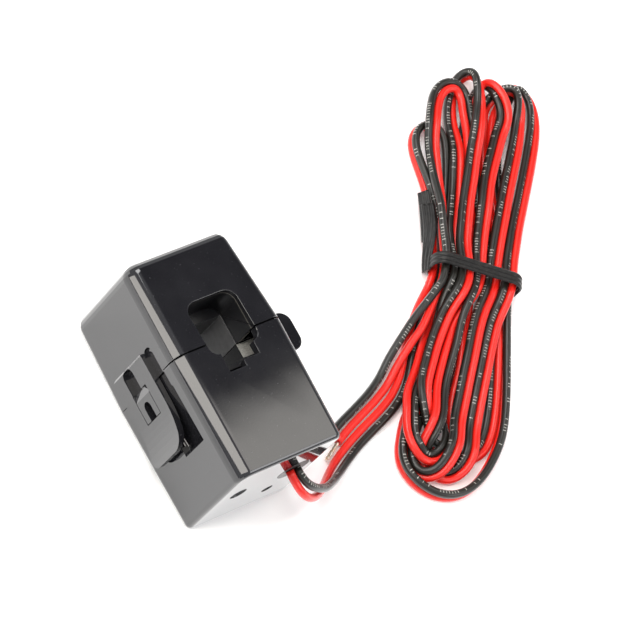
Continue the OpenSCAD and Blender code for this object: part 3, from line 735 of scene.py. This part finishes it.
def conductors():
    """Both conductors from the bushing to their bared ends, before they settle."""
    middle, way = hank_pair()
    lines, spans = [], []
    for out, end, side in ((RED_OUT, RED_END, 0.5), (BLACK_OUT, BLACK_END, -0.5)):
        turns = middle + way * side * PITCH
        lead_in = smooth_line(out, STEP)
        lead_out = smooth_line(end[::-1], STEP)
        into, out_of = join(lead_in, turns), join(turns, lead_out)
        kept = turns[JOIN_AFTER:-JOIN_BEFORE]
        first = len(lead_in) - JOIN_BEFORE + len(into)
        lines.append(np.vstack([lead_in[:-JOIN_BEFORE], into, kept, out_of, lead_out[JOIN_AFTER:]]))
        spans.append((first, first + len(kept)))
    return lines, spans


def unbend(line):
    """How far each point gives way where the line bends tighter than BEND_R."""
    reach = 2
    inward = (line[2 * reach:] + line[:-2 * reach]) / 2 - line[reach:-reach]
    size = np.linalg.norm(inward, axis=1)
    allowed = (reach * STEP) ** 2 / (2 * BEND_R)
    inward *= np.clip(1 - allowed / np.maximum(size, 1e-6), 0, 1)[:, None]
    give = np.zeros_like(line)
    give[reach:-reach] += inward
    give[: -2 * reach] -= inward / 2
    give[2 * reach:] -= inward / 2
    return give


def close_pairs(points, group, index, within):
    """Points of the two lines that lie near each other and aren't neighbours along a line."""
    squares = (points**2).sum(1)
    apart = squares[:, None] + squares[None] - 2 * points @ points.T
    i, j = np.nonzero(np.triu(apart < within * within, 1))
    far_along = (np.abs(index[i] - index[j]) > NEIGHBOURS) | (group[i] != group[j])
    return i[far_along], j[far_along]


def settle(lines, spans, rounds):
    """Lets the lead lie: turns that meet are pushed a diameter apart, over smooth bends only."""
    count = [len(line) for line in lines]
    start = np.vstack(lines)
    group = np.repeat([0, 1], count)
    index = np.concatenate([np.arange(n) for n in count])
    to_end = np.minimum(index, np.repeat(count, count) - 1 - index) * STEP
    free = np.clip((to_end - HELD_MM) / EASED_MM, 0, 1)[:, None]
    free = free * free * (3 - 2 * free)

    def spread(values, reach_mm):
        return np.vstack([spread_along(v, reach_mm) for v in np.split(values, [count[0]])])

    red = np.arange(*spans[0])
    black = np.arange(*spans[1]) + count[0]
    lay = start[red] - start[black]
    start = start + free * (spread(start, FIRST_REACH) - start)
    points = start.copy()
    partner = np.full(len(points), NO_PARTNER)
    partner[red], partner[black] = black, red
    moved = np.zeros_like(points)
    for turn in range(rounds):
        if turn % LOOK_EVERY == 0:
            i, j = close_pairs(points, group, index, LOOK_WITHIN)
            keep = (np.abs(partner[i] - j) > NEIGHBOURS) | (group[i] == group[j])
            i, j = i[keep], j[keep]
        # turns that meet
        push = np.zeros_like(points)
        weight = np.zeros(len(points))
        across = points[j] - points[i]
        far = np.linalg.norm(across, axis=1)
        hit = far < CLEAR_MM
        part = across[hit] * ((CLEAR_MM - far[hit]) / np.maximum(far[hit], 1e-6) * 0.5)[:, None]
        for which, sign in ((i[hit], -1), (j[hit], 1)):
            np.add.at(push, which, sign * part)
            np.add.at(weight, which, 1)
        push /= np.maximum(weight, 1)[:, None]
        # the pair's own bond
        bond = 0.5 * (lay - points[red] + points[black])
        push[red] += BOND_EVEN * bond
        push[black] -= BOND_EVEN * bond
        moved[red] += BOND_DIRECT * bond
        moved[black] -= BOND_DIRECT * bond
        # the tie, the table and the lead's weight
        local_u = (points - HANK_PLACE) @ HANK_U
        local_v = (points - HANK_PLACE) @ HANK_V
        tied = (np.abs(local_u - TIE_U) < TIE_HALF_U) & (free[:, 0] > 0.5)
        inward = np.clip(local_v, TIE_RIGHT + 1, TIE_LEFT - 1) - local_v
        push += (inward * tied)[:, None] * HANK_V
        lowest = np.where(tied, TIE_LOW + OVER_TIE, TABLE_Z)
        push[:, 2] += np.maximum(lowest - points[:, 2], 0)
        push[:, 2] -= np.where(tied, np.maximum(points[:, 2] - TIE_TOP + 1, 0), 0)
        push[:, 2] -= SAG
        moved += spread(push * free, PUSH_REACH) * PUSH_GAIN
        give = np.vstack([unbend(line) for line in np.split(points, [count[0]])])
        moved += UNBEND_GAIN * free * give
        moved *= KEPT
        points = start + free * moved
    points = points + free * (spread(points, LAST_REACH) - points)
    return points[: count[0]], points[count[0]:]


red_line, black_line = settle(*conductors(), ROUNDS)


# a line steeper than this can't tell which way is level, and how fast a tube turns toward it
STEEP, LEVEL_SHARE = 0.3, 0.1
# the bared end: its strands, their radius and that of their lay, its twist in radians, how much
# it opens toward the cut, and how unevenly it is cut
STRANDS, STRAND_R, STRAND_LAY_R = 7, 0.15, 0.3
STRAND_TWIST, STRAND_OPENS, STRAND_UNEVEN = 5.5, 0.25, 0.05


def ring_ways(ahead):
    """Two ways square to each point of a line, the first turned slowly toward level."""
    side = np.cross(ahead[0], UP)
    ways = []
    for t in ahead:
        side = side - t * (side @ t)
        side /= np.linalg.norm(side)
        level = np.cross(t, UP)
        size = np.linalg.norm(level)
        if size > STEEP:
            side = side * (1 - LEVEL_SHARE) + level / size * LEVEL_SHARE * np.sign(level @ side)
            side -= t * (side @ t)
            side /= np.linalg.norm(side)
        ways.append((side, np.cross(side, t)))
    return ways


def tube(name, line, radius, sides, made):
    """A round tube; its UVs are the length along it in millimetres and the angle round it."""
    line = np.asarray(line, float)
    work = bmesh.new()
    turns = [2 * math.pi * s / sides for s in range(sides + 1)]
    rings = [
        [
            work.verts.new(Vector(p + radius * (math.cos(a) * side + math.sin(a) * over)) * MM)
            for a in turns[:-1]
        ]
        for p, (side, over) in zip(line, ring_ways(unit(np.gradient(line, axis=0))))
    ]
    along = along_line(line)
    uv = work.loops.layers.uv.new("wire_mm")
    for k in range(len(rings) - 1):
        for s in range(sides):
            n = (s + 1) % sides
            face = work.faces.new((rings[k][s], rings[k][n], rings[k + 1][n], rings[k + 1][s]))
            face.smooth = True
            ends = ((k, s), (k, s + 1), (k + 1, s + 1), (k + 1, s))
            for loop, (at, round_at) in zip(face.loops, ends):
                loop[uv].uv = (along[at], turns[round_at])
    work.faces.new(rings[0][::-1])
    work.faces.new(rings[-1])
    return built(name, work, made)


def strands(name, start, stop, made):
    """Twisted tinned strands on one line from the insulation to their cut end."""
    start, stop = np.array(start, float), np.array(stop, float)
    long = np.linalg.norm(stop - start)
    ahead = (stop - start) / long
    side = np.cross(ahead, UP)
    side /= np.linalg.norm(side)
    over = np.cross(side, ahead)
    pieces = []
    for s in range(STRANDS):
        # the last one runs down the middle, and each is cut a little shorter than the next
        lay_r = 0 if s == STRANDS - 1 else STRAND_LAY_R
        reach = 1 - STRAND_UNEVEN * ((s * 5) % STRANDS) / STRANDS
        line = []
        for t in np.linspace(0, 1, 25):
            a = math.pi / 3 * s + STRAND_TWIST * t
            r = lay_r * (1 + STRAND_OPENS * t)
            line.append(start + ahead * long * t * reach
                        + r * (math.cos(a) * side + math.sin(a) * over))
        pieces.append(tube(f"{name}_{s}", line, STRAND_R, 6, made))
    whole = joined(pieces)
    whole.name = name
    return whole


# the tie's width and thickness, and the spacing of its sections, in millimetres
TIE_W = 3.4
TIE_T = 0.84
TIE_STEP = 0.6
# the loop across the hank: where it lies along it, how much it slants, its middle and half width
# in v, the height of its lower and upper runs, and its corners' radius
TIE_MIDDLE_U, TIE_SLANT = 1.3, 0.025
LOOP_V, LOOP_HALF, LOOP_LOW, LOOP_HIGH, LOOP_R = -2.5, 11.64, 0.47, 8.6, 3.0
# how thick the band is between its ridges, as a share of TIE_T
GROOVE = 0.56
# the two ends of the tie, one over the other: the middle of each in u, v and z, and the way its
# width runs, in v and z
TIE_ENDS = [
    [(-0.3, 9.5, 2.7, -0.15, 1.0), (2.6, 9.75, 3.1, -0.3, 0.95), (6.4, 9.7, 3.6, -0.55, 0.84),
     (10.5, 9.7, 4.0, -0.75, 0.66), (14.2, 10.2, 4.2, -0.85, 0.52), (17.4, 10.8, 4.2, -0.9, 0.42)],
    [(8.0, 9.6, 2.9, -0.7, 0.7), (13.0, 10.2, 3.0, -0.7, 0.7), (17.4, 11.0, 3.2, -0.6, 0.8),
     (20.9, 11.9, 3.5, -0.5, 0.86)],
]


def tie_section():
    """The flat tie's outline, in its width and thickness: three ridges on each side."""
    across = np.linspace(-1, 1, 25)
    ridge = 0.5 + 0.5 * np.cos(3 * math.pi * across)
    high = TIE_T / 2 * (GROOVE + (1 - GROOVE) * ridge) * (1 - across**8) ** 0.5
    upper = [(TIE_W / 2 * a, h) for a, h in zip(across, high)]
    return upper + [(a, -h) for a, h in upper[-2:0:-1]]


def ribbon(name, frames, closed, made):
    """Sweeps the tie's outline through frames of (place, width way, outward way)."""
    work = bmesh.new()
    section = tie_section()
    rings = [
        [work.verts.new(Vector(p + w * a + o * h) * MM) for a, h in section]
        for p, w, o in frames
    ]
    steps = len(rings) if closed else len(rings) - 1
    for k in range(steps):
        first, second = rings[k], rings[(k + 1) % len(rings)]
        for s in range(len(section)):
            n = (s + 1) % len(section)
            work.faces.new((first[s], first[n], second[n], second[s])).smooth = True
    if not closed:
        work.faces.new(rings[0][::-1])
        work.faces.new(rings[-1])
    return built(name, work, made)


def from_hank(u, v, z):
    """A point of the hank's own frame, in the shared one."""
    return HANK_PLACE + u * HANK_U + v * HANK_V + z * UP


def tie_loop_frames():
    """Once round the hank, inside the CAD loop's own outline."""
    frames = []
    for k, (sv, sz) in enumerate([(1, 1), (-1, 1), (-1, -1), (1, -1)]):
        centre_v = LOOP_V + sv * (LOOP_HALF - LOOP_R)
        centre_z = (LOOP_HIGH - LOOP_R) if sz > 0 else (LOOP_LOW + LOOP_R)
        for j in range(9):
            a = math.pi / 2 * (k + j / 8)
            out_v, out_z = math.cos(a), math.sin(a)
            v, z = centre_v + LOOP_R * out_v, centre_z + LOOP_R * out_z
            u = TIE_MIDDLE_U + TIE_SLANT * (v - LOOP_V)
            frames.append((from_hank(u, v, z), HANK_U, out_v * HANK_V + out_z * UP))
    return frames


def tie_end_frames(stations):
    """Along one flat end of the tie, turning as its stations say."""
    fine = smooth_line(stations, TIE_STEP)
    places = np.array([from_hank(*p[:3]) for p in fine])
    ahead = np.gradient(places, axis=0)
    frames = []
    for p, t, row in zip(places, ahead, fine):
        wide = row[3] * HANK_V + row[4] * UP
        wide -= t * (wide @ t) / (t @ t)
        wide /= np.linalg.norm(wide)
        outward = np.cross(t, wide)
        frames.append((p, wide, outward / np.linalg.norm(outward)))
    return frames


tie_parts = [ribbon("twist_tie_band", tie_loop_frames(), True, TIE)]
for k, stations in enumerate(TIE_ENDS):
    tie_parts.append(ribbon(f"tie_end_{k}", tie_end_frames(stations), False, TIE))
stand_in(joined(tie_parts), "base", "tie_black", "twist_tie")

RED_BARE = [(31.6, -29.7, 1.1), (26.6, -32.4, 1.0)]
BLACK_BARE = [(29.4, -28.0, 1.1), (24.4, -30.0, 1.0)]

red_wire = tube("red_conductor", red_line, WIRE_D / 2, WIRE_SIDES, RED_PVC)
black_wire = tube("black_conductor", black_line, WIRE_D / 2, WIRE_SIDES, BLACK_PVC)
red_strands = strands("red_wire_strands", *RED_BARE, TINNED)
black_strands = strands("black_wire_strands", *BLACK_BARE, TINNED)
stand_in(red_wire, "base", "wire_red", "red_lead", "lead_hank")
stand_in(black_wire, "base", "wire_black", "black_lead", "lead_hank")
stand_in(red_strands, "base", "tin", "tinned_ends")
stand_in(black_strands, "base", "tin", "tinned_ends")


# ---------------------------------------------------------------- studio


# where the lamps point, in metres
AIM = Vector((0.02, -0.005, 0.0))
TABLE_HALF_M = 3.0
# the table's own light, as the camera and as glossy surfaces see it: it lights no other piece
TABLE_TO_CAMERA, TABLE_TO_GLOSS = 0.1, 0.9

# the surroundings, each edge as a pair between which it fades
WALL_TINT = (0.78, 0.79, 0.81, 1)
HORIZON_BAND, HORIZON_TINT = (0.02, 0.07), (0.22, 0.22, 0.23, 1)
CARD_WAY, CARD_SPAN, CARD_EDGE = (0.54, 0.28, 0.80), (0.80, 0.93), (0.08, 0.16)
CARD_TINT = (0.05, 0.05, 0.055, 1)
PANEL_SIDES = ((0.10, 0.16), (0.76, 0.68))
PANEL_EDGE, PANEL_FOOT, PANEL_OVER = (0.149, 0.129), (-0.14, -0.06), (0.3, 0.4)
PANEL_LIGHT = (4.4, 4.25, 4.0, 1)


def area_lamp(name, place, size, watts, tint="#ffffff"):
    """A rectangular softbox that points at the part."""
    data = bpy.data.lights.new(name, "AREA")
    data.shape = "RECTANGLE"
    data.size, data.size_y = size
    data.energy = watts
    data.color = srgb(tint)[:3]
    lamp = bpy.data.objects.new(name, data)
    lamp.location = place
    lamp.rotation_mode = "QUATERNION"
    lamp.rotation_quaternion = (AIM - Vector(place)).to_track_quat("-Z", "Y")
    scene.collection.objects.link(lamp)


def studio_floor():
    """A plain white table top that stays white in reflections and keeps the soft shadow."""
    mesh = bpy.data.meshes.new("table_top")
    half = TABLE_HALF_M
    corners = [(-half, -half, 0), (half, -half, 0), (half, half, 0), (-half, half, 0)]
    mesh.from_pydata(corners, [], [(0, 1, 2, 3)])
    table = placed("table_top", mesh)
    made, tree, shader, _ = material("white_table")
    rays = add(tree, "ShaderNodeLightPath").outputs
    glossy = calc(tree, "MULTIPLY", rays["Is Glossy Ray"], TABLE_TO_GLOSS)
    camera = calc(tree, "MULTIPLY", rays["Is Camera Ray"], TABLE_TO_CAMERA)
    fill(tree, shader, {
        "Base Color": srgb("#f7f7f7"),
        "Roughness": 0.9,
        "Specular IOR Level": 0.1,
        "Emission Color": grey(1),
        "Emission Strength": calc(tree, "ADD", glossy, camera),
    })
    mesh.materials.append(made)


def studio_world():
    """Soft pale surroundings: a dim band at the table's far edge, a dark card above, and beside
    the card a warm panel that the lower part of the front face picks up."""
    world = bpy.data.worlds.new("studio")
    scene.world = world
    world.use_nodes = True
    tree = world.node_tree
    way = add(tree, "ShaderNodeTexCoord").outputs["Generated"]
    split = add(tree, "ShaderNodeSeparateXYZ", {"Vector": way}).outputs

    def fade(value, span):
        return mapped(tree, value, since=span, interpolation_type="SMOOTHSTEP")

    def all_of(*masks):
        whole = masks[0]
        for mask in masks[1:]:
            whole = calc(tree, "MULTIPLY", whole, mask)
        return whole

    toward = add(
        tree, "ShaderNodeVectorMath",
        {0: way, 1: Vector(CARD_WAY).normalized()}, operation="DOT_PRODUCT",
    ).outputs["Value"]
    card = all_of(fade(toward, CARD_SPAN), fade(split["Y"], CARD_EDGE))
    panel = all_of(
        *[fade(split["X"], side) for side in PANEL_SIDES],
        fade(split["Y"], PANEL_EDGE), fade(split["Y"], PANEL_FOOT), fade(split["Z"], PANEL_OVER),
    )
    tint = blend(tree, fade(split["Z"], HORIZON_BAND), HORIZON_TINT, WALL_TINT)
    tint = blend(tree, card, tint, CARD_TINT)
    fill(tree, tree.nodes["Background"], {
        "Color": blend(tree, panel, tint, PANEL_LIGHT), "Strength": 1.0,
    })


studio_floor()
studio_world()
area_lamp("key_softbox", (-0.71, 0.22, 0.71), (0.36, 1.6), 13, "#fffaf2")
area_lamp("fill_softbox", (0.5, -0.9, 0.8), (0.6, 0.4), 4)
area_lamp("top_softbox", (-0.1, 0.7, 1.1), (0.6, 0.4), 7)

scene.view_settings.view_transform = "Standard"
